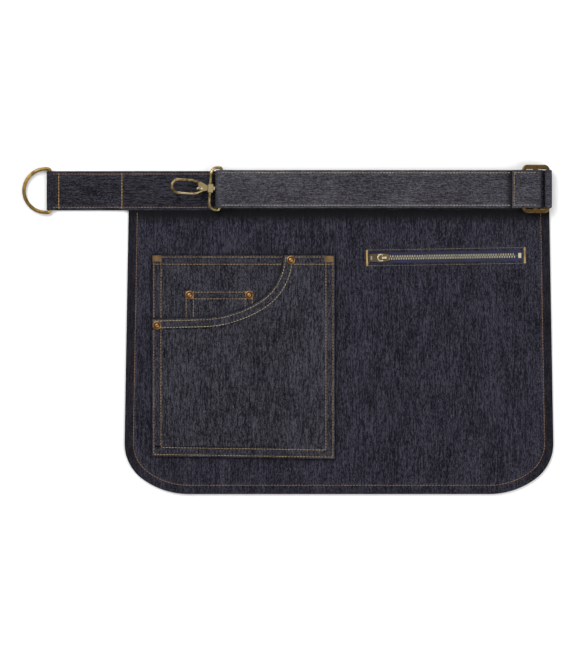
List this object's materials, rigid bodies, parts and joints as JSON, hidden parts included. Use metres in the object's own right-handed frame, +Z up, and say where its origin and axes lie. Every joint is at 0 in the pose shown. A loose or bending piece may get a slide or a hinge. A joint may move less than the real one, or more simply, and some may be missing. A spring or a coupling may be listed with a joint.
{
  "type": "waist apron",
  "caption": "Dark denim waist apron with patch pocket, zip pocket, D-ring tab and an adjustable belt that ends in a swivel snap hook.",
  "frame": {"origin": "on the floor under the middle of the apron's outline, with the apron lying flat on its back", "axes": "+X along the waistband to the slider end, +Y from the hem up to the waistband, +Z up out of the front"},
  "size_m": [0.5316, 0.3294, 0.0185],
  "materials": {
    "denim": "dark indigo denim, twill weave",
    "denim_band": "dark indigo denim, twill weave along the band",
    "denim_strap": "dark indigo denim, doubled and edge stitched",
    "zip_tape": "navy woven tape",
    "pocketing": "plain cotton pocketing",
    "antique_brass": "antiqued, brushed",
    "dark_brass": "antiqued, darker",
    "zip_brass": "bright brass teeth",
    "copper_rivet": "copper-coloured, satin"
  },
  "bodies": {
    "apron": {"main_panel": "denim", "waistband_front": "denim_band", "waistband_back": "denim_band", "slider_loop": "denim_strap", "pocket_backing": "denim", "coin_pocket": "denim", "pocket_front": "denim", "rivet_caps": "copper_rivet", "rivet_backs": "copper_rivet", "zip_tape_upper": "zip_tape", "zip_tape_lower": "zip_tape", "zip_teeth_upper": "zip_brass", "zip_teeth_lower": "zip_brass", "zip_top_stop": "zip_brass", "zip_bottom_stop": "zip_brass", "zip_pocket_bag": "pocketing"},
    "d_ring": {"d_ring": "antique_brass"},
    "belt": {"belt_strap": "denim_strap", "slider_buckle": "dark_brass"},
    "hook_ring": {"hook_ring": "antique_brass"},
    "hook": {"hook_body": "antique_brass", "swivel_post": "antique_brass", "gate_pin": "antique_brass"},
    "gate": {"hook_gate": "antique_brass"},
    "zip_slider": {"zip_slider_body": "antique_brass", "zip_slider_crown": "antique_brass"},
    "zip_pull": {"zip_pull": "antique_brass"}
  },
  "joints": [
    {"name": "d_ring_swing", "type": "hinge", "parent": "apron", "child": "d_ring", "pos_m": [-0.2382, 0.13887, 0.0033], "axis": [0, 1, 0], "range_deg": [0, 170]},
    {"name": "belt_fold", "type": "hinge", "parent": "apron", "child": "belt", "pos_m": [0.2601, 0.14037, 0.0093], "axis": [0, 1, 0], "range_deg": [0, 180]},
    {"name": "ring_swing", "type": "hinge", "parent": "belt", "child": "hook_ring", "pos_m": [-0.0674, 0.14037, 0.0077], "axis": [0.061, 0.9981, 0], "range_deg": [0, 110]},
    {"name": "hook_swivel", "type": "hinge", "parent": "hook_ring", "child": "hook", "pos_m": [-0.07916, 0.14109, 0.00999], "axis": [0.9798, -0.0599, -0.1908], "continuous": true},
    {"name": "gate_open", "type": "hinge", "parent": "hook", "child": "gate", "pos_m": [-0.08635, 0.14083, 0.01138], "axis": [-0.1905, 0.0116, -0.9816], "range_deg": [0, 22], "stiffness_Nm_per_rad": 0.003, "springref_deg": -28.65},
    {"name": "zip_slide", "type": "slide", "parent": "apron", "child": "zip_slider", "axis": [0.9999, 0.0166, 0], "range_m": [0, 0.125]},
    {"name": "pull_flip", "type": "hinge", "parent": "zip_slider", "child": "zip_pull", "pos_m": [0.09621, 0.07185, 0.0037], "axis": [-0.0166, 0.9999, 0], "range_deg": [0, 170]}
  ]
}
